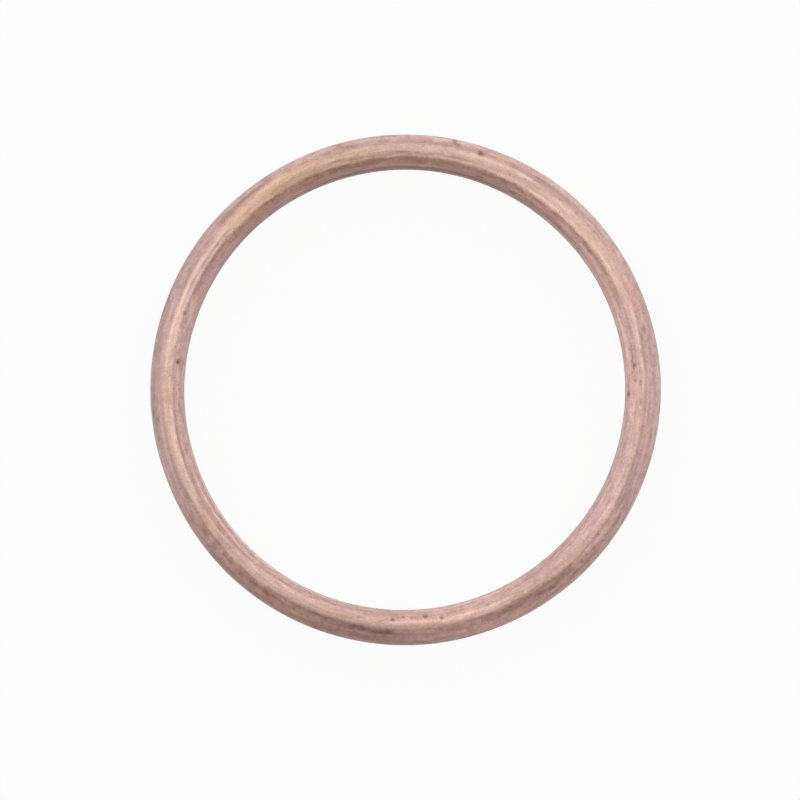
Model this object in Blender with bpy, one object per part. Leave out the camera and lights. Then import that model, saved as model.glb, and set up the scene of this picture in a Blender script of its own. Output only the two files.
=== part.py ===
"""Crush ring for an exhaust port, folded from one strip of copper sheet.

The strip is rolled into a hollow ring. Its section has leaning flanks that bulge to
the bore and to the outside, and a narrow flat land on the top and on the bottom. The
strip's two long edges lap under the ring: one is tucked inside, the other curls round
it and ends low on the bore side.

Metres, +Z up. The origin is on the ring's axis, in the plane it rests on.
"""

import math

import bpy

# Ring
BORE_DIAMETER = 0.0380
SECTION_WIDTH = 0.0030
RING_HEIGHT = 0.0040

# Copper strip
SHEET_THICKNESS = 0.00040

# Crown and base lands
LAND_INSET = 0.00111
LAND_WIDTH = 0.00034

# Folds at the crown land, and how far each flank leans where it leaves its fold
BORE_FOLD_INSIDE_RADIUS = 0.00010
BORE_FLANK_SLOPE = math.radians(30.0)
SHOULDER_INSIDE_RADIUS = 0.00020
SHOULDER_SLOPE = math.radians(20.0)

# Outer wall
UPRIGHT_WALL_HEIGHT = 0.00112

# Lapped seam
LAP_GAP = 0.00012
CURL_ANGLE = math.radians(38.0)

# Smoothness
RING_STEPS = 80
FACET_ANGLE = math.radians(15.0)

# Oxidised copper
COPPER_COLOUR = (0.64, 0.43, 0.37, 1.0)
COPPER_ROUGHNESS = 0.45
COPPER_METALLIC = 1.0

BORE_RADIUS = BORE_DIAMETER / 2
OUTER_RADIUS = BORE_RADIUS + SECTION_WIDTH
LAND_INNER_RADIUS = BORE_RADIUS + LAND_INSET
LAND_OUTER_RADIUS = LAND_INNER_RADIUS + LAND_WIDTH
MID_HEIGHT = RING_HEIGHT / 2
LAP_HEIGHT = SHEET_THICKNESS + LAP_GAP


def clear_scene():
    for obj in list(bpy.data.objects):
        bpy.data.objects.remove(obj, do_unlink=True)


def elliptic_bend(centre, semi_axes, start, end, outset=0.0):
    """Points along an ellipse, moved out square to it by the outset."""
    steps = max(2, round(abs(end - start) / FACET_ANGLE))
    points = []
    for step in range(steps + 1):
        angle = start + (end - start) * step / steps
        across = math.cos(angle) / semi_axes[0]
        up = math.sin(angle) / semi_axes[1]
        length = math.hypot(across, up)
        points.append((
            centre[0] + semi_axes[0] * math.cos(angle) + outset * across / length,
            centre[1] + semi_axes[1] * math.sin(angle) + outset * up / length,
        ))
    return points


def tucked_corner(sweep, outset=0.0):
    """The bend under the bore side, from the base towards the bore."""
    centre = (LAND_INNER_RADIUS, MID_HEIGHT)
    semi_axes = (LAND_INSET, MID_HEIGHT - LAP_HEIGHT)
    base = math.radians(270.0)
    return elliptic_bend(centre, semi_axes, base, base - sweep, outset)


def leaning_flank(run, rise, slope):
    """Semi-axes and sweep of the bend that leaves an upright wall and ends at a slope."""
    sweep = 2.0 * math.atan(math.sqrt(1.0 - 2.0 * run * math.tan(slope) / rise))
    return (run / (1.0 - math.cos(sweep)), rise / math.sin(sweep)), sweep


def bore_flank():
    """The bulge from the bore's middle up to the fold at the crown land's inner end."""
    fold_radius = SHEET_THICKNESS + BORE_FOLD_INSIDE_RADIUS
    run = LAND_INSET - fold_radius * math.sin(BORE_FLANK_SLOPE)
    rise = MID_HEIGHT - fold_radius * (1.0 - math.cos(BORE_FLANK_SLOPE))
    semi_axes, sweep = leaning_flank(run, rise, BORE_FLANK_SLOPE)
    centre = (BORE_RADIUS + semi_axes[0], MID_HEIGHT)
    return elliptic_bend(centre, semi_axes, math.pi, math.pi - sweep)


def crown_fold(land_end, inside_radius, start, end):
    """The tight fold at one end of the flat crown land."""
    fold_radius = SHEET_THICKNESS + inside_radius
    centre = (land_end, RING_HEIGHT - fold_radius)
    crown = math.radians(90.0)
    return elliptic_bend(centre, (fold_radius, fold_radius), crown + start, crown + end)


def outer_flank():
    """The bulge from the shoulder's fold down to the upright outer wall."""
    fold_radius = SHEET_THICKNESS + SHOULDER_INSIDE_RADIUS
    wall_top = MID_HEIGHT + UPRIGHT_WALL_HEIGHT / 2
    run = OUTER_RADIUS - LAND_OUTER_RADIUS - fold_radius * math.sin(SHOULDER_SLOPE)
    rise = RING_HEIGHT - wall_top - fold_radius * (1.0 - math.cos(SHOULDER_SLOPE))
    semi_axes, sweep = leaning_flank(run, rise, SHOULDER_SLOPE)
    centre = (OUTER_RADIUS - semi_axes[0], wall_top)
    return elliptic_bend(centre, semi_axes, sweep, 0.0)


def lower_corner():
    """The quarter bend from the upright outer wall to the flat base land."""
    wall_foot = MID_HEIGHT - UPRIGHT_WALL_HEIGHT / 2
    semi_axes = (OUTER_RADIUS - LAND_OUTER_RADIUS, wall_foot)
    return elliptic_bend((LAND_OUTER_RADIUS, wall_foot), semi_axes, 0.0, math.radians(-90.0))


def strip_outer_face():
    """Section line of the strip's outer face, from the tucked edge to the curled edge."""
    line = [(LAND_OUTER_RADIUS, LAP_HEIGHT)]
    line += tucked_corner(math.radians(90.0))
    line += bore_flank()[1:]
    line += crown_fold(LAND_INNER_RADIUS, BORE_FOLD_INSIDE_RADIUS, BORE_FLANK_SLOPE, 0.0)[1:]
    line += crown_fold(LAND_OUTER_RADIUS, SHOULDER_INSIDE_RADIUS, 0.0, -SHOULDER_SLOPE)
    line += outer_flank()[1:]
    line += lower_corner()
    line += tucked_corner(CURL_ANGLE, outset=LAP_HEIGHT)
    return line


def revolve(name, line):
    """Turn a section line round Z."""
    mesh = bpy.data.meshes.new(name)
    vertices = [(radius, 0.0, height) for radius, height in line]
    edges = [(index, index + 1) for index in range(len(line) - 1)]
    mesh.from_pydata(vertices, edges, [])
    ring = bpy.data.objects.new(name, mesh)
    bpy.context.collection.objects.link(ring)
    screw = ring.modifiers.new("turn", "SCREW")
    screw.axis = "Z"
    screw.angle = 2.0 * math.pi
    screw.steps = RING_STEPS
    screw.render_steps = RING_STEPS
    screw.use_merge_vertices = False
    return ring


def thicken(ring):
    """Give the turned face the sheet's thickness, inwards, with square cut edges."""
    sheet = ring.modifiers.new("sheet", "SOLIDIFY")
    sheet.thickness = SHEET_THICKNESS
    sheet.offset = -1.0
    sheet.use_even_offset = True
    sheet.use_quality_normals = True
    sheet.use_rim = True


def settle_mesh(ring):
    """Keep the result of the modifiers as the mesh, shaded smooth between its folds."""
    graph = bpy.context.evaluated_depsgraph_get()
    mesh = bpy.data.meshes.new_from_object(ring.evaluated_get(graph))
    ring.modifiers.clear()
    ring.data = mesh
    mesh.shade_smooth()
    mesh.set_sharp_from_angle(angle=math.radians(40.0))


def copper_material():
    material = bpy.data.materials.new("copper")
    material.use_nodes = True
    shader = material.node_tree.nodes["Principled BSDF"]
    shader.inputs["Base Color"].default_value = COPPER_COLOUR
    shader.inputs["Roughness"].default_value = COPPER_ROUGHNESS
    shader.inputs["Metallic"].default_value = COPPER_METALLIC
    return material


def build_gasket():
    ring = revolve("gasket_ring", strip_outer_face())
    thicken(ring)
    settle_mesh(ring)
    ring.data.materials.append(copper_material())
    return ring


clear_scene()
build_gasket()
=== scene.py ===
"""Looks of a copper crush ring for an exhaust port.

The ring is one strip of sheet folded into a hollow ring. A fine mesh of the same section
replaces the faceted solid, and adds the slight waves of the outlines, ripples, pits and
The finish is copper dulled by oxide: tan where the crown is burnished, mauve on the
flanks, with streaks along the strip and soft zones of other tones and hues. Painted light
lies on it too: painted shade along the crown's inner crease and at the edges, painted
highlights on the north-west shoulder and at the edges, and a painted reflection that
greys the steep rims.

Lengths are in millimetres here and become metres in the mesh. A place on the ring is given
as seen from above: degrees round it from +X, and a radius in pixels of the photograph. The
half length of a mark runs along the strip, and its half width across it.
"""

import math
import random

import bmesh
import bpy
import numpy as np
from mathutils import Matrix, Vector, noise


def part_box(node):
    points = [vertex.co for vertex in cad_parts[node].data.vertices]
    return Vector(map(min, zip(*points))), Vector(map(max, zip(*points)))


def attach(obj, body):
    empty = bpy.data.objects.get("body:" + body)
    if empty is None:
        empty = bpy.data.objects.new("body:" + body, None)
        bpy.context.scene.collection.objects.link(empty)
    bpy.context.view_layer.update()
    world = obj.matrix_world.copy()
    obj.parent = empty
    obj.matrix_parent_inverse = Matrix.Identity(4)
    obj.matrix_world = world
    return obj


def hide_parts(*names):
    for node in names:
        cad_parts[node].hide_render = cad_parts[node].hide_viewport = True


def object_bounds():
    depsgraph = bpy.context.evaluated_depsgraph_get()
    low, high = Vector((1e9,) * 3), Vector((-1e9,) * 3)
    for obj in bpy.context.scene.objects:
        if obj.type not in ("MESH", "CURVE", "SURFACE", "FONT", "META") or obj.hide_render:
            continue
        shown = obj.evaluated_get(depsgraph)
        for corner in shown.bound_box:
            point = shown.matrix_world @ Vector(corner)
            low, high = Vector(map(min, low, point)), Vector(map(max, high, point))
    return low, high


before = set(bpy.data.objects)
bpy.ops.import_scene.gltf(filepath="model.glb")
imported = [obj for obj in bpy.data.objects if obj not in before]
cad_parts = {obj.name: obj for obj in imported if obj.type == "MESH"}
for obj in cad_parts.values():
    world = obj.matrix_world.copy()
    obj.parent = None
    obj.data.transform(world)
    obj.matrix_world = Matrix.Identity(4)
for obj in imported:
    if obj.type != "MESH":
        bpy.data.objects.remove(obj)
cad_low, cad_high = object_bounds()

MM = 0.001
NODE = "gasket_ring"
QUARTER_TURN = math.radians(90.0)

# Section of the folded strip
SECTION_WIDTH = 3.0
SHEET_THICKNESS = 0.40
LAND_INSET = 1.11
LAND_WIDTH = 0.34
BORE_FOLD_INSIDE_RADIUS = 0.10
BORE_FLANK_SLOPE = math.radians(30.0)
SHOULDER_INSIDE_RADIUS = 0.20
SHOULDER_SLOPE = math.radians(20.0)
UPRIGHT_WALL_HEIGHT = 1.12
LAP_GAP = 0.12
CURL_ANGLE = math.radians(38.0)

node_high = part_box(NODE)[1]
OUTER_RADIUS = node_high[0] / MM
RING_HEIGHT = node_high[2] / MM
BORE_RADIUS = OUTER_RADIUS - SECTION_WIDTH
MEAN_RADIUS = (BORE_RADIUS + OUTER_RADIUS) / 2
LAND_INNER_RADIUS = BORE_RADIUS + LAND_INSET
LAND_OUTER_RADIUS = LAND_INNER_RADIUS + LAND_WIDTH
MID_HEIGHT = RING_HEIGHT / 2
WALL_FOOT = MID_HEIGHT - UPRIGHT_WALL_HEIGHT / 2
WALL_TOP = MID_HEIGHT + UPRIGHT_WALL_HEIGHT / 2
LAP_HEIGHT = SHEET_THICKNESS + LAP_GAP

# Out of round: number of waves, their height, degrees of a peak; then how far it is all moved out
OUTER_WAVES = ((2, 0.018, 54.0), (3, 0.012, 17.0), (4, 0.012, -30.0), (8, 0.009, 4.0))
OUTER_EASE = -0.052
BORE_WAVES = ((1, 0.078, 187.0), (2, 0.048, 36.0), (3, 0.020, -6.0), (7, 0.012, -22.0))
BORE_EASE = 0.004

# Ripples left by forming: length along the strip, length across it, depth
LONG_RIPPLE = (7.0, 1.3, 0.020)
SHORT_RIPPLE = (1.6, 0.45, 0.004)
RIPPLE_FREE_HEIGHT = 0.35

# Fineness of the mesh: steps round the ring and along each stretch of its section
RING_STEPS = 1000
BORE_FLANK_STEPS = 21
BORE_FOLD_STEPS = 4
CROWN_STEPS = 4
SHOULDER_STEPS = 3
OUTER_FLANK_STEPS = 20
WALL_STEPS = 6
LOWER_CORNER_STEPS = 8
TUCKED_CORNER_STEPS = 8
CURL_STEPS = 5
HIDDEN_LAND_STEPS = 2
INNER_FACE_STRIDE = 7
SHARP_ANGLE = math.radians(50.0)

# Where the ring lies in the photograph, in pixels of its 800 x 800 frame
PHOTO_SIZE = 800.0
PHOTO_RING_X = 405.50
PHOTO_RING_Y = 389.82
PHOTO_RING_RADIUS = 255.45
MM_PER_PIXEL = (OUTER_RADIUS + OUTER_EASE) / PHOTO_RING_RADIUS

# Pits and nicks: degrees, pixels, half length, half width, depth, share of grime
PITS = (
    (173.1, 228.9, 0.37, 0.40, 0.050, 0.82),
    (72.4, 248.4, 0.42, 0.42, 0.050, 0.70),
    (275.0, 227.3, 0.36, 0.36, 0.045, 0.75),
    (266.8, 230.0, 0.27, 0.30, 0.045, 0.70),
    (279.0, 230.8, 0.25, 0.30, 0.045, 0.70),
    (358.9, 222.6, 0.32, 0.50, 0.045, 0.75),
    (6.0, 229.9, 0.28, 0.32, 0.035, 0.56),
    (78.8, 253.8, 0.30, 0.62, 0.060, 0.62),
    (77.9, 250.8, 0.40, 0.34, 0.030, 0.50),
    (2.3, 230.1, 0.24, 0.24, 0.020, 0.42),
    (1.7, 235.3, 0.34, 0.16, 0.015, 0.35),
    (14.3, 246.1, 0.65, 0.20, 0.020, 0.50),
    (12.6, 241.8, 0.45, 0.12, 0.015, 0.35),
    (50.7, 245.8, 0.30, 0.14, 0.015, 0.30),
    (40.7, 233.2, 0.26, 0.14, 0.015, 0.40),
    (55.8, 223.8, 0.80, 0.20, 0.015, 0.40),
    (61.1, 224.4, 0.60, 0.20, 0.015, 0.30),
    (70.7, 225.3, 0.60, 0.22, 0.020, 0.50),
    (87.1, 237.1, 0.40, 0.14, 0.015, 0.30),
    (90.5, 238.0, 0.80, 0.18, 0.015, 0.35),
    (105.0, 253.8, 0.42, 0.50, 0.050, 0.42),
    (106.7, 238.6, 0.90, 0.12, 0.020, 0.40),
    (133.4, 232.2, 0.26, 0.14, 0.015, 0.30),
    (130.7, 244.2, 0.26, 0.12, 0.015, 0.25),
    (161.0, 233.3, 0.30, 0.20, 0.020, 0.50),
    (186.8, 249.6, 0.28, 0.22, 0.020, 0.42),
    (191.3, 251.3, 0.36, 0.16, 0.020, 0.40),
    (215.9, 245.9, 0.45, 0.16, 0.015, 0.35),
    (232.3, 245.9, 0.45, 0.26, 0.020, 0.45),
    (235.8, 247.2, 0.60, 0.28, 0.020, 0.45),
    (249.2, 253.9, 0.60, 0.24, 0.030, 0.35),
    (259.5, 242.4, 0.40, 0.40, 0.020, 0.45),
    (257.6, 242.6, 0.26, 0.40, 0.010, 0.30),
    (266.1, 243.6, 0.55, 0.28, 0.025, 0.60),
    (269.5, 227.3, 0.24, 0.18, 0.020, 0.40),
    (271.5, 227.7, 0.24, 0.16, 0.020, 0.35),
    (290.9, 230.3, 0.34, 0.24, 0.020, 0.30),
    (287.3, 248.7, 0.26, 0.16, 0.015, 0.25),
    (303.4, 243.9, 0.80, 0.28, 0.020, 0.40),
    (309.4, 243.3, 0.90, 0.30, 0.020, 0.35),
    (304.1, 230.5, 0.30, 0.26, 0.015, 0.30),
    (341.0, 235.6, 0.40, 0.14, 0.015, 0.30),
    (357.0, 235.6, 0.45, 0.14, 0.015, 0.40),
)

# Strokes from one place to another: degrees and pixels twice, half width, strength
DARK_STROKES = (
    # The first three lie just inside the crown's inner fold: painted shade of that crease
    (181.0, 232.3, 216.9, 231.6, 0.14, 0.34),
    (216.9, 232.4, 231.9, 228.2, 0.10, 0.26),
    (231.9, 228.0, 251.9, 226.2, 0.12, 0.26),
    (152.5, 231.0, 158.0, 225.6, 0.12, 0.25),
    (160.0, 232.5, 167.0, 225.0, 0.14, 0.16),
    (194.9, 224.7, 215.9, 224.2, 0.10, 0.20),
    (252.9, 243.0, 267.4, 243.3, 0.30, 0.30),
    (262.9, 234.9, 265.9, 228.9, 0.07, 0.30),
    (265.9, 228.9, 268.9, 222.9, 0.07, 0.22),
    (16.1, 242.5, 30.1, 243.2, 0.12, 0.22),
    (0.0, 236.0, 9.1, 234.5, 0.10, 0.22),
)
PALE_STROKES = (
    # The first four, along the north-west shoulder, are painted highlights; the rest are pale marks
    (137.6, 241.7, 142.6, 241.0, 0.17, 0.50),
    (146.0, 241.5, 152.4, 241.0, 0.20, 0.74),
    (147.0, 239.5, 152.0, 239.1, 0.12, 0.45),
    (153.0, 241.2, 160.0, 240.8, 0.14, 0.55),
    (58.8, 244.3, 60.5, 244.2, 0.17, 0.66),
    (60.5, 244.1, 62.5, 243.7, 0.17, 0.66),
    (156.2, 232.9, 162.4, 225.8, 0.20, 0.78),
    (153.0, 230.5, 157.6, 225.6, 0.14, 0.25),
    (160.0, 232.4, 164.5, 226.4, 0.12, 0.22),
    (337.0, 246.9, 350.0, 245.9, 0.30, 0.22),
    (285.6, 250.2, 288.0, 249.4, 0.14, 0.30),
    (316.2, 247.2, 317.6, 246.8, 0.14, 0.25),
    (10.1, 237.5, 15.1, 237.7, 0.22, 0.45),
    (17.1, 239.1, 21.1, 239.3, 0.20, 0.40),
    (0.0, 238.8, 8.1, 238.7, 0.08, 0.40),
)

# Lighter and darker zones: degrees, pixels, half length, half width, share of brightness gained
# Zones at the bore's edge and at the outer edge are painted shade and painted highlight
TONE_AND_LIGHT_ZONES = (
    (2.0, 240.3, 5.5, 0.22, -0.24),
    (7.5, 227.8, 3.6, 0.34, -0.20),
    (8.1, 225.5, 6.5, 0.45, 0.26),
    (11.0, 242.0, 3.0, 0.26, -0.24),
    (22.0, 253.8, 15.0, 0.60, 0.14),
    (24.0, 245.0, 6.0, 0.50, 0.08),
    (29.0, 226.5, 6.5, 0.50, 0.12),
    (30.0, 249.4, 6.0, 0.40, 0.07),
    (32.6, 236.2, 3.0, 0.20, 0.22),
    (35.0, 243.4, 5.0, 0.34, -0.10),
    (47.0, 234.6, 4.0, 0.26, 0.22),
    (47.0, 232.2, 3.6, 0.20, 0.14),
    (47.1, 228.5, 5.5, 0.34, 0.26),
    (48.0, 223.4, 2.6, 0.34, -0.20),
    (51.0, 245.2, 5.0, 0.20, 0.06),
    (53.1, 233.3, 3.2, 0.26, 0.38),
    (55.1, 248.6, 4.4, 0.44, -0.26),
    (58.0, 222.0, 8.0, 0.50, -0.14),
    (60.0, 253.8, 8.0, 0.50, 0.05),
    (61.0, 242.0, 2.4, 0.26, -0.24),
    (62.0, 235.2, 3.0, 0.26, 0.22),
    (62.0, 224.4, 6.0, 0.40, -0.14),
    (66.0, 243.8, 4.5, 0.34, 0.10),
    (74.0, 238.4, 4.0, 0.20, -0.14),
    (82.0, 233.4, 8.0, 0.26, 0.22),
    (84.0, 236.0, 8.5, 0.22, -0.13),
    (86.0, 221.8, 13.0, 0.60, -0.44),
    (92.0, 253.6, 24.0, 0.60, 0.26),
    (94.0, 249.0, 8.0, 0.40, -0.16),
    (95.0, 241.6, 10.0, 0.28, -0.10),
    (100.1, 226.2, 16.0, 1.10, -0.20),
    (101.0, 235.6, 5.0, 0.30, 0.16),
    (104.0, 239.6, 3.0, 0.24, 0.10),
    (105.5, 233.4, 2.6, 0.26, 0.16),
    (106.1, 236.3, 8.5, 0.36, -0.26),
    (120.0, 241.4, 6.0, 0.30, -0.08),
    (120.0, 250.6, 6.0, 0.34, -0.08),
    (123.0, 246.8, 4.0, 0.26, 0.16),
    (128.0, 233.0, 5.5, 0.20, 0.18),
    (132.0, 221.9, 13.0, 0.60, -0.24),
    (132.0, 249.2, 3.4, 0.36, -0.30),
    (145.0, 253.8, 18.0, 0.50, -0.09),
    (150.0, 238.0, 4.0, 0.14, -0.16),
    (150.0, 243.6, 6.0, 0.50, -0.14),
    (150.6, 240.4, 1.4, 0.34, -0.10),
    (153.0, 231.8, 4.0, 0.26, -0.20),
    (155.0, 241.3, 6.0, 0.20, 0.16),
    (166.0, 240.4, 4.0, 0.24, 0.14),
    (180.0, 250.6, 8.0, 0.50, -0.14),
    (186.0, 228.6, 7.0, 0.26, 0.22),
    (195.9, 234.9, 4.5, 0.16, 0.20),
    (195.9, 243.3, 5.5, 0.24, -0.26),
    (210.0, 241.6, 5.0, 0.28, -0.14),
    (211.0, 229.4, 7.0, 0.18, -0.16),
    (212.0, 224.2, 5.0, 0.34, -0.05),
    (213.0, 227.6, 6.0, 0.26, 0.26),
    (215.0, 234.8, 1.8, 0.30, -0.08),
    (222.6, 245.6, 2.4, 0.26, 0.20),
    (225.0, 222.0, 12.0, 0.60, 0.50),
    (228.0, 229.4, 5.0, 0.22, -0.10),
    (231.9, 249.2, 7.5, 0.38, 0.20),
    (234.0, 246.6, 4.0, 0.40, -0.14),
    (235.9, 230.8, 4.0, 0.24, 0.16),
    (240.0, 227.0, 9.0, 0.50, 0.08),
    (248.0, 253.6, 14.0, 0.60, -0.14),
    (248.9, 240.3, 6.0, 0.26, -0.24),
    (257.0, 242.2, 4.5, 0.45, -0.12),
    (267.0, 233.0, 2.6, 0.22, -0.10),
    (272.0, 238.6, 6.0, 0.28, -0.10),
    (277.0, 230.0, 6.0, 0.30, 0.12),
    (278.0, 224.2, 8.0, 0.34, -0.12),
    (279.0, 242.4, 5.0, 0.26, 0.20),
    (279.9, 233.2, 7.0, 0.26, 0.26),
    (285.0, 222.6, 8.0, 0.70, 0.26),
    (287.0, 235.8, 3.4, 0.20, 0.22),
    (289.9, 248.3, 8.5, 0.48, 0.32),
    (296.0, 240.0, 5.0, 0.24, -0.22),
    (299.9, 237.1, 3.5, 0.16, -0.20),
    (302.0, 236.0, 4.5, 0.20, 0.16),
    (308.0, 245.6, 6.0, 0.30, -0.14),
    (308.0, 243.6, 5.0, 0.40, -0.06),
    (308.0, 235.6, 5.0, 0.45, -0.10),
    (318.9, 244.7, 5.0, 0.42, 0.38),
    (326.0, 253.8, 20.0, 0.60, 0.14),
    (330.0, 225.4, 6.0, 0.40, 0.14),
    (330.0, 235.0, 2.4, 0.24, 0.22),
    (330.0, 247.6, 6.0, 0.30, 0.08),
    (334.0, 241.0, 6.0, 0.34, -0.12),
    (340.0, 239.4, 4.5, 0.18, -0.16),
    (350.0, 238.4, 5.0, 0.26, -0.12),
    (358.0, 227.0, 3.5, 0.45, 0.22),
    (359.0, 244.6, 5.0, 0.30, 0.08),
)

# Zones of another hue, with their share of gold above nought, or of lilac below it
GOLD_ZONES = (
    (15.0, 247.0, 3.5, 0.60, 0.30),
    (22.0, 250.0, 8.0, 0.60, -0.30),
    (30.0, 232.6, 3.5, 0.50, 0.50),
    (42.0, 238.0, 3.0, 0.60, 0.45),
    (50.0, 250.0, 6.0, 0.60, -0.40),
    (64.0, 239.0, 4.0, 0.80, 0.25),
    (81.0, 229.0, 5.0, 0.70, 0.40),
    (96.0, 251.0, 5.0, 0.60, -0.50),
    (112.0, 229.0, 9.0, 0.70, 0.26),
    (118.0, 238.6, 11.0, 1.10, 0.74),
    (125.0, 246.6, 7.0, 0.45, 0.60),
    (132.0, 251.0, 9.0, 0.60, -0.40),
    (139.0, 230.0, 5.0, 0.45, 0.40),
    (158.0, 228.0, 4.5, 0.70, -1.00),
    (172.0, 238.0, 6.0, 0.80, 0.35),
    (186.0, 240.0, 5.0, 0.70, 0.30),
    (204.0, 233.0, 6.0, 0.35, 0.35),
    (214.5, 234.8, 1.8, 0.45, 0.80),
    (253.0, 236.5, 2.2, 0.60, 0.50),
    (260.0, 242.6, 7.0, 0.50, -1.00),
    (275.0, 236.0, 4.0, 0.50, 0.40),
    (292.0, 243.0, 7.0, 0.60, -0.50),
    (300.0, 236.0, 5.0, 0.60, 0.35),
    (307.0, 246.0, 5.0, 0.60, -0.50),
    (310.0, 226.0, 10.0, 0.70, -0.50),
    (320.0, 243.0, 5.5, 1.0, 0.25),
    (343.0, 246.5, 5.5, 0.60, -1.00),
    (355.0, 232.0, 3.0, 0.50, 0.35),
)

# Redder zones, with their share of rose
ROSE_ZONES = (
    (22.0, 245.2, 2.2, 0.55, 0.70),
    (86.0, 229.8, 3.5, 0.50, 0.50),
    (97.0, 229.0, 3.0, 0.40, 0.40),
    (142.0, 248.0, 5.0, 0.50, 0.30),
    (202.0, 226.0, 3.0, 0.50, 0.40),
    (226.5, 245.6, 3.0, 0.50, 0.60),
    (236.0, 246.0, 3.5, 0.45, 0.50),
    (247.0, 242.0, 3.0, 0.40, 0.35),
    (296.0, 239.8, 2.2, 0.30, 0.60),
    (309.0, 234.0, 2.0, 0.60, 0.45),
    (327.0, 240.2, 4.0, 0.25, 0.45),
)

# Small pits that lie anywhere, and the range of each measure
SMALL_PITS = 130
SMALL_PIT_SEED = 7
SMALL_PIT_HALF_WIDTH = (0.10, 0.20)
SMALL_PIT_STRETCH = (1.0, 1.8)
SMALL_PIT_DEPTH = (0.004, 0.016)
SMALL_PIT_GRIME = (0.08, 0.32)

# How marks fade out, and how deep a dark stroke is at full strength
PIT_FALLOFF = 1.5
ZONE_FALLOFF = 0.75
STROKE_TAPER = 0.06
DARK_STROKE_DEPTH = 0.012

# Camera
LENS = 150.0
SENSOR = 36.0
CAMERA_DISTANCE = LENS * PHOTO_SIZE * MM_PER_PIXEL / SENSOR

# Light, where 1 shows a colour as it is written
ROOM_LIGHT = 0.65

# Soft panels in metres: name, place, target, width, height, radiance
PANELS = (
    ("north_panel", (0.0, 0.7, 0.45), (0.0, 0.0, 0.45), 1.4, 0.9, 0.43),
    ("northeast_panel", (0.5, 0.5, 0.5), (0.0, 0.0, 0.5), 0.6, 0.6, 0.14),
    ("east_panel", (0.7, 0.2, 0.50), (0.0, 0.2, 0.50), 1.0, 0.8, 0.30),
    ("west_panel", (-0.7, 0.2, 0.45), (0.0, 0.2, 0.45), 1.0, 0.9, 0.40),
    ("roof_panel", (0.0, 0.33, 0.9), (0.0, 0.33, 0.0), 1.4, 0.74, 0.74),
)

# Dark board on the south side, in metres
BOARD_DISTANCE = 0.35
BOARD_HALF_WIDTH = 0.5
BOARD_FOOT = 0.10
BOARD_HEAD = 1.2
BOARD_COLOUR = (0.28, 0.205, 0.18, 1.0)

# Floor and room, with the share of plain white that the camera and metal see of them
FLOOR_RADIUS = 2.5
FLOOR_SIDES = 96
PAPER = (0.78, 0.78, 0.78, 1.0)
PLAIN_WHITE = (1.0, 1.0, 1.0, 1.0)
FLOOR_CAMERA_WHITE = 0.95
FLOOR_GLOSSY_WHITE = 0.40
ROOM_CAMERA_WHITE = 1.0
ROOM_GLOSSY_WHITE = 0.05

# Finish, as linear colours
MAUVE = (0.62, 0.42, 0.395, 1.0)
BROWN = (0.63, 0.42, 0.37, 1.0)
TAN = (0.67, 0.462, 0.395, 1.0)
GOLD = (0.67, 0.445, 0.315, 1.0)
ROSE = (0.72, 0.43, 0.385, 1.0)
LILAC = (0.645, 0.435, 0.425, 1.0)
STRAW = (0.67, 0.475, 0.345, 1.0)
# Grey of the painted reflection on the steep rims
GREYED_REFLECTION = (0.58, 0.45, 0.425, 1.0)
# Dark of dirt, and of the painted shade along the crease
SOOT_AND_SHADE = (0.20, 0.11, 0.085, 1.0)
# Pale of worn metal, and of the painted highlights on the shoulder
BRIGHT = (0.86, 0.65, 0.57, 1.0)

# Noises of the finish: scale per mm along the strip and across it, detail
NOISES = {
    "streaks": (0.22, 3.4, 4.0),
    "short_streaks": (0.8, 3.0, 4.0),
    "fine_streaks": (3.0, 11.0, 3.0),
    "mottle": (1.5, 1.9, 4.0),
    "patches": (0.16, 0.5, 2.0),
    "blush": (0.5, 0.8, 3.0),
    "cool": (1.2, 1.5, 3.0),
    "straw": (1.8, 2.1, 3.0),
    "grain": (6.0, 7.0, 2.0),
}

# The crown: where it starts and ends, in mm from its inner fold, and how its ends wander
CROWN_START = (0.0, 0.25)
CROWN_START_WANDER = {"short_streaks": 0.3}
CROWN_END = (1.60, 1.20)
CROWN_END_WANDER = {"short_streaks": 0.6, "patina": 0.45}

# The flanks: mauve at the patina's peak, in degrees, and opposite it, and brown elsewhere
PATINA_PEAK = 170.0
MAUVE_PATCHES = {"patches": 1.2}
MAUVE_LIMITS = (0.60, 1.60)

# Patches of hue: noise, limits between which it grows, largest share, colour
HUES = (
    ("blush", (0.48, 0.70), 0.25, ROSE),
    ("cool", (0.48, 0.74), 0.45, LILAC),
    ("straw", (0.46, 0.72), 0.60, STRAW),
)

# Painted reflection that greys the steep rims: where it fades in and out, measured as the
# crown is, and how it varies
INNER_RIM = (-2.6, -1.7, -1.2, -0.4)
OUTER_RIM = (2.2, 3.0, 3.3, 4.4)
RIM_WANDER = {"mottle": 0.6, "short_streaks": 1.0}
RIM_SHARES = (0.36, 0.62, 0.35, 0.70)

# Fine detail, and gains that make the bore flank and the crown lighter
DETAIL_WEIGHTS = {
    "streaks": 0.52, "short_streaks": 0.48, "fine_streaks": 0.24, "mottle": 0.56, "grain": 0.42,
}
DETAIL_BALANCE = -1.160
DETAIL_HUE = (0.62, 0.50, 0.455)
BORE_FLANK_GAIN = 1.14
BORE_FLANK_END = (-0.5, 0.1)
CROWN_GAIN = 0.05
CROWN_GAIN_SIDES = 0.15

# Gloss and bump
ROUGHNESS = 0.45
ROUGHNESS_SPREAD = 0.07
ROUGHNESS_LIMITS = (0.25, 0.75)
WEAR_ROUGHNESS = {"grime_and_shade": 0.18, "rubbed_and_highlight": -0.08}
ANISOTROPY = 0.8
ANISOTROPY_TURN = 0.25
BUMP_WEIGHTS = {"fine_streaks": 0.5, "grain": 0.3}
BUMP_HEIGHT = 0.008 * MM


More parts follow.
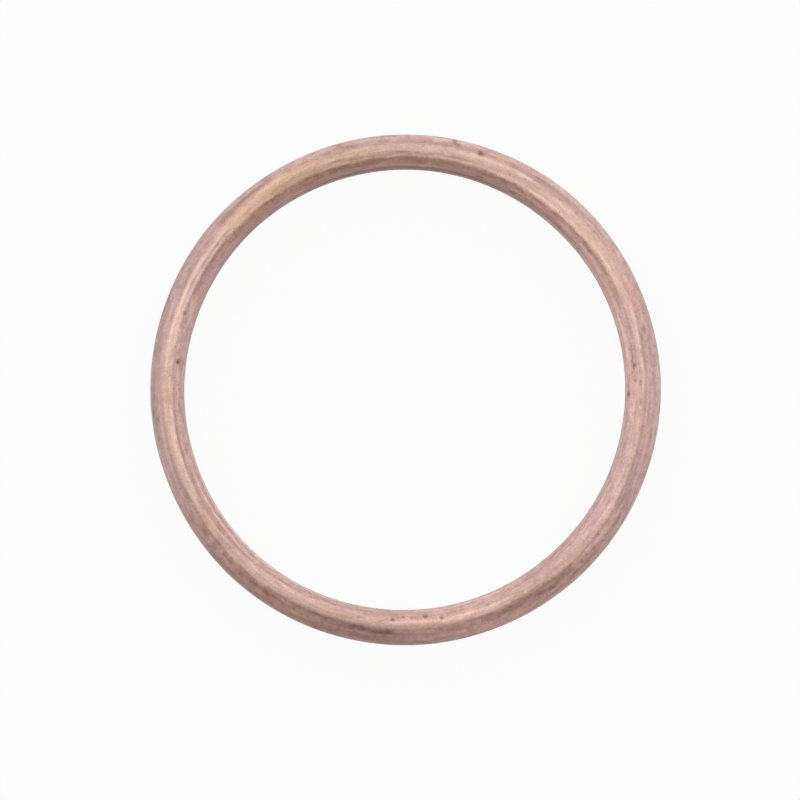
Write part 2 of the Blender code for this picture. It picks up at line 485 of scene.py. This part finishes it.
def elliptic_bend(centre, semi_axes, start, end, steps, outset=0.0):
    """Points along an ellipse, moved out square to it by the outset."""
    points = []
    for step in range(steps + 1):
        angle = start + (end - start) * step / steps
        across = math.cos(angle) / semi_axes[0]
        up = math.sin(angle) / semi_axes[1]
        length = math.hypot(across, up)
        points.append((
            centre[0] + semi_axes[0] * math.cos(angle) + outset * across / length,
            centre[1] + semi_axes[1] * math.sin(angle) + outset * up / length,
        ))
    return points


def straight(start, end, steps):
    """Points along a straight line."""
    run, rise = end[0] - start[0], end[1] - start[1]
    return [
        (start[0] + run * step / steps, start[1] + rise * step / steps)
        for step in range(steps + 1)
    ]


def tucked_corner(sweep, steps, outset=0.0):
    """The bend under the bore side, from the base towards the bore."""
    centre = (LAND_INNER_RADIUS, MID_HEIGHT)
    semi_axes = (LAND_INSET, MID_HEIGHT - LAP_HEIGHT)
    base = 3.0 * QUARTER_TURN
    return elliptic_bend(centre, semi_axes, base, base - sweep, steps, outset)


def leaning_flank(run, rise, slope):
    """Semi-axes and sweep of the bend that leaves an upright wall and ends at a slope."""
    sweep = 2.0 * math.atan(math.sqrt(1.0 - 2.0 * run * math.tan(slope) / rise))
    return (run / (1.0 - math.cos(sweep)), rise / math.sin(sweep)), sweep


def bore_flank():
    """The bulge from the bore's middle up to the fold at the crown land's inner end."""
    fold_radius = SHEET_THICKNESS + BORE_FOLD_INSIDE_RADIUS
    run = LAND_INSET - fold_radius * math.sin(BORE_FLANK_SLOPE)
    rise = MID_HEIGHT - fold_radius * (1.0 - math.cos(BORE_FLANK_SLOPE))
    semi_axes, sweep = leaning_flank(run, rise, BORE_FLANK_SLOPE)
    centre = (BORE_RADIUS + semi_axes[0], MID_HEIGHT)
    return elliptic_bend(centre, semi_axes, math.pi, math.pi - sweep, BORE_FLANK_STEPS)


def outer_flank():
    """The bulge from the shoulder's fold down to the upright outer wall."""
    fold_radius = SHEET_THICKNESS + SHOULDER_INSIDE_RADIUS
    run = OUTER_RADIUS - LAND_OUTER_RADIUS - fold_radius * math.sin(SHOULDER_SLOPE)
    rise = RING_HEIGHT - WALL_TOP - fold_radius * (1.0 - math.cos(SHOULDER_SLOPE))
    semi_axes, sweep = leaning_flank(run, rise, SHOULDER_SLOPE)
    centre = (OUTER_RADIUS - semi_axes[0], WALL_TOP)
    return elliptic_bend(centre, semi_axes, sweep, 0.0, OUTER_FLANK_STEPS)


def lower_corner():
    """The quarter bend from the upright outer wall to the flat base land."""
    semi_axes = (OUTER_RADIUS - LAND_OUTER_RADIUS, WALL_FOOT)
    centre = (LAND_OUTER_RADIUS, WALL_FOOT)
    return elliptic_bend(centre, semi_axes, 0.0, -QUARTER_TURN, LOWER_CORNER_STEPS)


def crown_fold(land_end, inside_radius, start, end, steps):
    """The tight fold at one end of the flat crown land."""
    radius = SHEET_THICKNESS + inside_radius
    centre = (land_end, RING_HEIGHT - radius)
    return elliptic_bend(centre, (radius, radius), QUARTER_TURN + start, QUARTER_TURN + end, steps)


def land(first_radius, second_radius, height, steps):
    """A flat stretch at one height."""
    return straight((first_radius, height), (second_radius, height), steps)


def strip_outer_face():
    """Section line of the strip's outer face, from the tucked edge to the curled edge."""
    inner, outer = LAND_INNER_RADIUS, LAND_OUTER_RADIUS
    stretches = [
        land(outer, inner, LAP_HEIGHT, HIDDEN_LAND_STEPS),
        tucked_corner(QUARTER_TURN, TUCKED_CORNER_STEPS),
        bore_flank(),
        crown_fold(inner, BORE_FOLD_INSIDE_RADIUS, BORE_FLANK_SLOPE, 0.0, BORE_FOLD_STEPS),
        land(inner, outer, RING_HEIGHT, CROWN_STEPS),
        crown_fold(outer, SHOULDER_INSIDE_RADIUS, 0.0, -SHOULDER_SLOPE, SHOULDER_STEPS),
        outer_flank(),
        straight((OUTER_RADIUS, WALL_TOP), (OUTER_RADIUS, WALL_FOOT), WALL_STEPS),
        lower_corner(),
        land(outer, inner, 0.0, HIDDEN_LAND_STEPS),
        tucked_corner(CURL_ANGLE, CURL_STEPS, outset=LAP_HEIGHT),
    ]
    line = [stretches[0][0]]
    for stretch in stretches:
        line += stretch[1:]
    return np.array(line)


def section_normals(line):
    """Unit normals of the outer face, which the strip's path has on its left."""
    along = np.gradient(line, axis=0)
    along /= np.linalg.norm(along, axis=1)[:, None]
    return np.column_stack((-along[:, 1], along[:, 0]))


def distances_from_crown(line):
    """Length along the strip from the inner end of the crown land, growing outwards."""
    lengths = np.concatenate(([0.0], np.cumsum(np.linalg.norm(np.diff(line, axis=0), axis=1))))
    crown = np.argmin(np.linalg.norm(line - (LAND_INNER_RADIUS, RING_HEIGHT), axis=1))
    return lengths - lengths[crown]


def waves(angles, terms, ease):
    """How far a round outline is moved out at each angle."""
    total = np.full_like(angles, ease)
    for count, height, peak in terms:
        total += height * np.cos(count * (angles - math.radians(peak)))
    return total


def out_of_round(angles, radii):
    """How far each radius is moved out at each angle by the waves of the two outlines."""
    outwards = (radii - BORE_RADIUS) / SECTION_WIDTH
    outer = waves(angles, OUTER_WAVES, OUTER_EASE)[:, None]
    bore = waves(angles, BORE_WAVES, BORE_EASE)[:, None]
    return outer * outwards + bore * (1.0 - outwards)


def ripple(angles, lengths, size):
    """Smooth dents of a given length and width, between none and their full depth."""
    along, across, depth = size
    dents = np.empty((len(angles), len(lengths)))
    for step, angle in enumerate(angles):
        east = MEAN_RADIUS * math.cos(angle) / along
        north = MEAN_RADIUS * math.sin(angle) / along
        for row, length in enumerate(lengths):
            dents[step, row] = noise.noise(Vector((east, north, length / across)))
    return depth * (0.5 + 0.5 * dents)


def ripples(angles, line, lengths):
    """Depth of both ripples, which end above the base."""
    free = np.clip(line[:, 1] / RIPPLE_FREE_HEIGHT, 0.0, 1.0)
    return (ripple(angles, lengths, LONG_RIPPLE) + ripple(angles, lengths, SHORT_RIPPLE)) * free


def seen_length(line, lengths, degrees, pixels):
    """Place across the strip of what the camera sees at this radius in the photograph."""
    seen = line[:, 1] > MID_HEIGHT
    radii = line[seen, 0] + out_of_round(np.array([math.radians(degrees)]), line[seen, 0])[0]
    radii *= CAMERA_DISTANCE / (CAMERA_DISTANCE + WALL_TOP - line[seen, 1])
    return np.interp(pixels * MM_PER_PIXEL, radii, lengths[seen])


def blob(angles, lengths, degrees, length, half_length, half_width):
    """A round or long spot: 1 in its middle, falling to 0 at its rim."""
    turn = np.angle(np.exp(1j * (angles - math.radians(degrees))))
    along = turn[:, None] * MEAN_RADIUS / half_length
    across = (lengths[None, :] - length) / half_width
    return np.clip(1.0 - along ** 2 - across ** 2, 0.0, None)


def stroke(angles, lengths, start, end, half_width):
    """A line from one place to another: 1 along its middle, falling to 0 at its rim."""
    turn = np.angle(np.exp(1j * (angles - math.radians(start[0]))))
    run = math.radians(end[0] - start[0]) * MEAN_RADIUS
    rise = end[1] - start[1]
    along = (turn * MEAN_RADIUS)[:, None]
    across = lengths[None, :] - start[1]
    share = np.clip((along * run + across * rise) / (run ** 2 + rise ** 2), 0.0, 1.0)
    distance = np.hypot(along - share * run, across - share * rise)
    taper = np.sin(np.pi * np.clip(share, STROKE_TAPER, 1.0 - STROKE_TAPER)) ** 0.5
    return np.clip(1.0 - (distance / half_width) ** 2, 0.0, None) * taper


def small_pits(lengths):
    """Places and sizes of small pits, spread over the whole of the strip's outer face."""
    source = random.Random(SMALL_PIT_SEED)
    pits = []
    for _ in range(SMALL_PITS):
        half_width = source.uniform(*SMALL_PIT_HALF_WIDTH)
        pits.append((
            source.uniform(0.0, 360.0),
            source.uniform(lengths[0], lengths[-1]),
            half_width * source.uniform(*SMALL_PIT_STRETCH),
            half_width,
            source.uniform(*SMALL_PIT_DEPTH),
            source.uniform(*SMALL_PIT_GRIME),
        ))
    return pits


def pit_marks(angles, line, lengths):
    """Depth of the pits over the outer face, and the share that they leave undarkened."""
    pits = small_pits(lengths)
    for degrees, pixels, *measures in PITS:
        pits.append((degrees, seen_length(line, lengths, degrees, pixels), *measures))
    dents = np.zeros((len(angles), len(lengths)))
    undarkened = np.ones_like(dents)
    for degrees, length, half_length, half_width, depth, grime_and_shade in pits:
        spot = blob(angles, lengths, degrees, length, half_length, half_width) ** PIT_FALLOFF
        dents += depth * spot
        undarkened *= 1.0 - grime_and_shade * spot
    return dents, undarkened


def stroke_shares(angles, line, lengths, strokes):
    """Each stroke of a list, laid over the outer face at its strength."""
    for first, first_pixels, second, second_pixels, half_width, strength in strokes:
        start = (first, seen_length(line, lengths, first, first_pixels))
        end = (second, seen_length(line, lengths, second, second_pixels))
        yield strength * stroke(angles, lengths, start, end, half_width)


def marks(angles, line, lengths):
    """Depth of dents, share of dirt and painted shade, and of worn metal and painted highlight, on
    the face.
    """
    dents, undarkened = pit_marks(angles, line, lengths)
    # Dark strokes, partly painted shade of the crease, darken the finish
    for share in stroke_shares(angles, line, lengths, DARK_STROKES):
        dents += DARK_STROKE_DEPTH * share
        undarkened *= 1.0 - share
    rubbed_and_highlight = np.zeros_like(dents)
    # Pale strokes, partly painted highlights on the shoulder
    for share in stroke_shares(angles, line, lengths, PALE_STROKES):
        rubbed_and_highlight = np.maximum(rubbed_and_highlight, share)
    return dents, 1.0 - undarkened, rubbed_and_highlight


def zone_map(angles, line, lengths, zones):
    """Soft zones laid over the outer face, each with its own share."""
    total = np.zeros((len(angles), len(lengths)))
    for degrees, pixels, half_length, half_width, share in zones:
        length = seen_length(line, lengths, degrees, pixels)
        spot = blob(angles, lengths, degrees, length, half_length, half_width) ** ZONE_FALLOFF
        total += share * spot
    return total


def finish_shares(angles, line, lengths, grime_and_shade, rubbed_and_highlight):
    """What the finish, painted light included, reads at each point of the outer face, by name."""
    patina = 0.5 + 0.5 * np.cos(2.0 * (angles - math.radians(PATINA_PEAK)))
    return {
        "grime_and_shade": grime_and_shade,
        "rubbed_and_highlight": rubbed_and_highlight,
        "patina": np.broadcast_to(patina[:, None], grime_and_shade.shape),
        "tone_and_light": zone_map(angles, line, lengths, TONE_AND_LIGHT_ZONES),
        "gold": zone_map(angles, line, lengths, GOLD_ZONES),
        "rose": zone_map(angles, line, lengths, ROSE_ZONES),
    }


def inner_face_points(count):
    """The points of the outer face that have one behind them, from the curled edge back."""
    inner = np.arange(count - 1, -1, -INNER_FACE_STRIDE)
    return inner if inner[-1] == 0 else np.append(inner, 0)


def sheet_points(angles, line, inner, dents):
    """Radius and height of each point: the dented outer face, then the inner face."""
    normals = section_normals(line)
    section = np.concatenate((line, line[inner] - normals[inner] * SHEET_THICKNESS))
    radii = np.tile(section[:, 0], (len(angles), 1))
    heights = np.tile(section[:, 1], (len(angles), 1))
    radii[:, :len(line)] -= dents * normals[:, 0]
    heights[:, :len(line)] -= dents * normals[:, 1]
    return radii + out_of_round(angles, radii), heights


def turned(angles, radii, heights):
    """Points in space, one section of the ring after another."""
    cosines, sines = np.cos(angles)[:, None], np.sin(angles)[:, None]
    points = np.broadcast_arrays(radii * cosines, radii * sines, heights)
    return np.stack(points, axis=-1).reshape(-1, 3)


def ring_faces(rows):
    """Quads between neighbouring sections, each of which is a closed loop of rows."""
    faces = []
    for step in range(RING_STEPS):
        here = step * rows
        there = (step + 1) % RING_STEPS * rows
        for row in range(rows):
            following = (row + 1) % rows
            faces.append((here + row, there + row, there + following, here + following))
    return faces


def build_ring():
    line = strip_outer_face()
    lengths = distances_from_crown(line)
    angles = np.arange(RING_STEPS) * 2.0 * np.pi / RING_STEPS
    dents, grime_and_shade, rubbed_and_highlight = marks(angles, line, lengths)
    dents += ripples(angles, line, lengths)
    inner = inner_face_points(len(line))
    radii, heights = sheet_points(angles, line, inner, dents)
    strip_lengths = np.concatenate((lengths, lengths[inner]))

    mesh = bpy.data.meshes.new("copper_ring")
    places = turned(angles, radii, heights) * MM
    mesh.from_pydata(places.tolist(), [], ring_faces(radii.shape[1]))
    attribute = mesh.attributes.new("strip_place", "FLOAT_VECTOR", "POINT")
    attribute.data.foreach_set("vector", turned(angles, MEAN_RADIUS, strip_lengths).ravel())
    for name, shares in finish_shares(angles, line, lengths, grime_and_shade, rubbed_and_highlight).items():
        attribute = mesh.attributes.new(name, "FLOAT", "POINT")
        attribute.data.foreach_set("value", np.pad(shares, ((0, 0), (0, len(inner)))).ravel())
    mesh.shade_smooth()
    mesh.set_sharp_from_angle(angle=SHARP_ANGLE)
    ring = bpy.data.objects.new("copper_ring", mesh)
    bpy.context.collection.objects.link(ring)
    return ring


def add_node(owner, kind, inputs=None, **settings):
    """Add a node to a material or world. An input given as a socket is linked, any other set."""
    node = owner.node_tree.nodes.new(kind)
    for name, value in settings.items():
        setattr(node, name, value)
    for name, value in (inputs or {}).items():
        if isinstance(value, bpy.types.NodeSocket):
            owner.node_tree.links.new(value, node.inputs[name])
        else:
            node.inputs[name].default_value = value
    return node


def read_attribute(owner, name, output="Fac"):
    return add_node(owner, "ShaderNodeAttribute", attribute_name=name).outputs[output]


def strip_noise(owner, place, along, across, detail):
    """Noise in the strip's own measures, with its scale per mm along and across it."""
    scaled = add_node(
        owner, "ShaderNodeVectorMath", {0: place, 1: (along, along, across)}, operation="MULTIPLY",
    )
    grain = add_node(
        owner, "ShaderNodeTexNoise", {"Vector": scaled.outputs[0], "Scale": 1.0, "Detail": detail},
    )
    return grain.outputs["Fac"]


def ramp(owner, value, low, high, low_to=0.0, high_to=1.0):
    """A smooth step from one value to another between two limits."""
    node = add_node(
        owner, "ShaderNodeMapRange",
        {"Value": value, "From Min": low, "From Max": high, "To Min": low_to, "To Max": high_to},
        interpolation_type="SMOOTHSTEP",
    )
    return node.outputs["Result"]


def calculate(owner, operation, *values):
    node = add_node(owner, "ShaderNodeMath", dict(enumerate(values)), operation=operation)
    return node.outputs[0]


def band(owner, value, limits):
    """1 between the two middle limits, and 0 beyond the two outer ones."""
    rising = ramp(owner, value, limits[0], limits[1])
    falling = ramp(owner, value, limits[3], limits[2])
    return calculate(owner, "MINIMUM", rising, falling)


def weighted(owner, maps, weights, start):
    """The start plus each named map times its weight."""
    total = start
    for name, weight in weights.items():
        total = calculate(owner, "MULTIPLY_ADD", maps[name], weight, total)
    return total


def tint(owner, share, first, second):
    """The first colour turned to the second by a share."""
    node = add_node(
        owner, "ShaderNodeMix", {"Factor": share, "A": first, "B": second}, data_type="RGBA",
    )
    return node.outputs["Result"]


def finish_maps(material):
    """Every map that the finish is made of, by name."""
    place = read_attribute(material, "strip_place", "Vector")
    maps = {name: strip_noise(material, place, *recipe) for name, recipe in NOISES.items()}
    for name in ("grime_and_shade", "rubbed_and_highlight", "patina", "tone_and_light", "gold", "rose"):
        maps[name] = read_attribute(material, name)
    maps["across"] = add_node(material, "ShaderNodeSeparateXYZ", {0: place}).outputs["Z"]
    return maps


def crown_share(material, maps):
    """1 on the burnished crown and 0 on the flanks."""
    start = weighted(material, maps, CROWN_START_WANDER, maps["across"])
    end = weighted(material, maps, CROWN_END_WANDER, maps["across"])
    return calculate(
        material, "MULTIPLY", ramp(material, start, *CROWN_START), ramp(material, end, *CROWN_END),
    )


def hue(material, maps, crown):
    """Colour of the oxidised copper before fine detail, its rims greyed by a painted reflection."""
    mauve = ramp(material, weighted(material, maps, MAUVE_PATCHES, maps["patina"]), *MAUVE_LIMITS)
    colour = tint(material, crown, tint(material, mauve, BROWN, MAUVE), TAN)
    colour = tint(material, ramp(material, maps["gold"], 0.0, 1.0), colour, GOLD)
    colour = tint(material, ramp(material, maps["gold"], 0.0, -1.0), colour, LILAC)
    colour = tint(material, maps["rose"], colour, ROSE)
    for name, limits, largest, patch in HUES:
        colour = tint(material, ramp(material, maps[name], *limits, 0.0, largest), colour, patch)
    # Painted reflection: the steep rims are greyed
    wandered = weighted(material, maps, RIM_WANDER, maps["across"])
    inner_rim, outer_rim = band(material, wandered, INNER_RIM), band(material, wandered, OUTER_RIM)
    rims = calculate(material, "MAXIMUM", inner_rim, outer_rim)
    rims = calculate(material, "MULTIPLY", rims, ramp(material, maps["patches"], *RIM_SHARES))
    return tint(material, rims, colour, GREYED_REFLECTION)


def brightness(material, maps, crown):
    """Gain of the bore flank, of the crown and of the lighter and darker zones, partly painted
    light.
    """
    gain = ramp(material, maps["across"], *BORE_FLANK_END, BORE_FLANK_GAIN, 1.0)
    lift = weighted(material, maps, {"patina": CROWN_GAIN_SIDES - CROWN_GAIN}, CROWN_GAIN)
    lift = calculate(material, "MULTIPLY", lift, crown)
    gain = calculate(material, "MULTIPLY_ADD", gain, lift, gain)
    return calculate(material, "MULTIPLY_ADD", gain, maps["tone_and_light"], gain)


def finish_colour(material, maps):
    crown = crown_share(material, maps)
    detail = weighted(material, maps, DETAIL_WEIGHTS, DETAIL_BALANCE)
    detailed = add_node(
        material, "ShaderNodeVectorMath", {0: detail, 1: DETAIL_HUE, 2: hue(material, maps, crown)},
        operation="MULTIPLY_ADD",
    )
    gained = add_node(
        material, "ShaderNodeVectorMath",
        {0: detailed.outputs[0], "Scale": brightness(material, maps, crown)}, operation="SCALE",
    )
    # Darkened by dirt and painted crease shade, then lightened by worn metal and painted highlights
    colour = tint(material, maps["grime_and_shade"], gained.outputs[0], SOOT_AND_SHADE)
    return tint(material, maps["rubbed_and_highlight"], colour, BRIGHT)


def copper_material():
    material = bpy.data.materials.new("oxidised_copper")
    material.use_nodes = True
    shader = material.node_tree.nodes["Principled BSDF"]
    links = material.node_tree.links
    maps = finish_maps(material)
    links.new(finish_colour(material, maps), shader.inputs["Base Color"])

    spread = (ROUGHNESS - ROUGHNESS_SPREAD, ROUGHNESS + ROUGHNESS_SPREAD)
    roughness = ramp(material, maps["mottle"], *ROUGHNESS_LIMITS, *spread)
    roughness = weighted(material, maps, WEAR_ROUGHNESS, roughness)
    links.new(roughness, shader.inputs["Roughness"])
    shader.inputs["Metallic"].default_value = 1.0
    shader.inputs["Anisotropic"].default_value = ANISOTROPY
    shader.inputs["Anisotropic Rotation"].default_value = ANISOTROPY_TURN
    tangent = add_node(material, "ShaderNodeTangent", direction_type="RADIAL", axis="Z")
    links.new(tangent.outputs[0], shader.inputs["Tangent"])

    height = weighted(material, maps, BUMP_WEIGHTS, maps["streaks"])
    bump = add_node(material, "ShaderNodeBump", {"Height": height, "Distance": BUMP_HEIGHT})
    links.new(bump.outputs[0], shader.inputs["Normal"])
    return material


def white_share(owner, camera, glossy):
    """Share of plain white in what the camera, or a ray off metal or through glass, sees."""
    rays = add_node(owner, "ShaderNodeLightPath")
    seen = calculate(owner, "MULTIPLY", rays.outputs["Is Camera Ray"], camera)
    for name, share in (("Is Glossy Ray", glossy), ("Is Transmission Ray", camera)):
        part = calculate(owner, "MULTIPLY", rays.outputs[name], share)
        seen = calculate(owner, "MAXIMUM", seen, part)
    return seen


def floor_material():
    """White paper. What the camera sees of it is lifted most of the way to plain white."""
    material = bpy.data.materials.new("white_paper")
    material.use_nodes = True
    material.node_tree.nodes.clear()
    lifted = white_share(material, FLOOR_CAMERA_WHITE, FLOOR_GLOSSY_WHITE)
    paper = add_node(material, "ShaderNodeBsdfDiffuse", {"Color": PAPER})
    white = add_node(material, "ShaderNodeEmission", {"Color": PLAIN_WHITE})
    blend = add_node(
        material, "ShaderNodeMixShader", {0: lifted, 1: paper.outputs[0], 2: white.outputs[0]},
    )
    add_node(material, "ShaderNodeOutputMaterial", {"Surface": blend.outputs[0]})
    return material


def build_floor():
    mesh = bpy.data.meshes.new("floor")
    shape = bmesh.new()
    bmesh.ops.create_circle(shape, cap_ends=True, segments=FLOOR_SIDES, radius=FLOOR_RADIUS)
    shape.to_mesh(mesh)
    shape.free()
    floor = bpy.data.objects.new("floor", mesh)
    floor.location.z = cad_low[2]
    mesh.materials.append(floor_material())
    bpy.context.collection.objects.link(floor)


def build_dark_side():
    """A dark board on the south side, which metal shows as the dark half of the room."""
    material = bpy.data.materials.new("dark_board")
    material.use_nodes = True
    material.node_tree.nodes.clear()
    shade = add_node(material, "ShaderNodeEmission", {"Color": BOARD_COLOUR})
    add_node(material, "ShaderNodeOutputMaterial", {"Surface": shade.outputs[0]})
    mesh = bpy.data.meshes.new("dark_board")
    corners = [
        (-BOARD_HALF_WIDTH, -BOARD_DISTANCE, BOARD_FOOT),
        (BOARD_HALF_WIDTH, -BOARD_DISTANCE, BOARD_FOOT),
        (BOARD_HALF_WIDTH, -BOARD_DISTANCE, BOARD_HEAD),
        (-BOARD_HALF_WIDTH, -BOARD_DISTANCE, BOARD_HEAD),
    ]
    mesh.from_pydata(corners, [], [(0, 1, 2, 3)])
    mesh.materials.append(material)
    board = bpy.data.objects.new("dark_board", mesh)
    board.visible_camera = False
    bpy.context.collection.objects.link(board)


def add_panel(name, place, target, width, height, radiance):
    """A large soft panel that faces its target. Its power follows from how bright it looks."""
    lamp = bpy.data.lights.new(name, "AREA")
    lamp.shape = "RECTANGLE"
    lamp.size = width
    lamp.size_y = height
    lamp.energy = radiance * math.pi * width * height
    holder = bpy.data.objects.new(name, lamp)
    holder.location = place
    holder.rotation_euler = (Vector(place) - Vector(target)).to_track_quat("Z", "Y").to_euler()
    holder.visible_camera = False
    bpy.context.collection.objects.link(holder)


def light_scene():
    """A tent of soft white panels in a plain room, with its south side left dark."""
    world = bpy.data.worlds.new("studio")
    world.use_nodes = True
    world.node_tree.nodes.clear()
    lifted = white_share(world, ROOM_CAMERA_WHITE, ROOM_GLOSSY_WHITE)
    room = add_node(world, "ShaderNodeBackground", {"Color": PLAIN_WHITE, "Strength": ROOM_LIGHT})
    white = add_node(world, "ShaderNodeBackground", {"Color": PLAIN_WHITE, "Strength": 1.0})
    blend = add_node(
        world, "ShaderNodeMixShader", {0: lifted, 1: room.outputs[0], 2: white.outputs[0]},
    )
    add_node(world, "ShaderNodeOutputWorld", {"Surface": blend.outputs[0]})
    bpy.context.scene.world = world
    for panel in PANELS:
        add_panel(*panel)


def place_camera():
    """Straight above, with the ring where the photograph has it."""
    camera = bpy.data.cameras.new("camera")
    camera.lens = LENS
    camera.sensor_width = SENSOR
    holder = bpy.data.objects.new("camera", camera)
    holder.location = (
        (PHOTO_SIZE / 2 - PHOTO_RING_X) * MM_PER_PIXEL * MM,
        (PHOTO_RING_Y - PHOTO_SIZE / 2) * MM_PER_PIXEL * MM,
        (WALL_TOP + CAMERA_DISTANCE) * MM,
    )
    bpy.context.collection.objects.link(holder)
    bpy.context.scene.camera = holder


bpy.context.scene.view_settings.view_transform = "Standard"
ring = build_ring()
ring.data.materials.append(copper_material())
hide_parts(NODE)
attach(ring, "root")
build_floor()
build_dark_side()
light_scene()
place_camera()
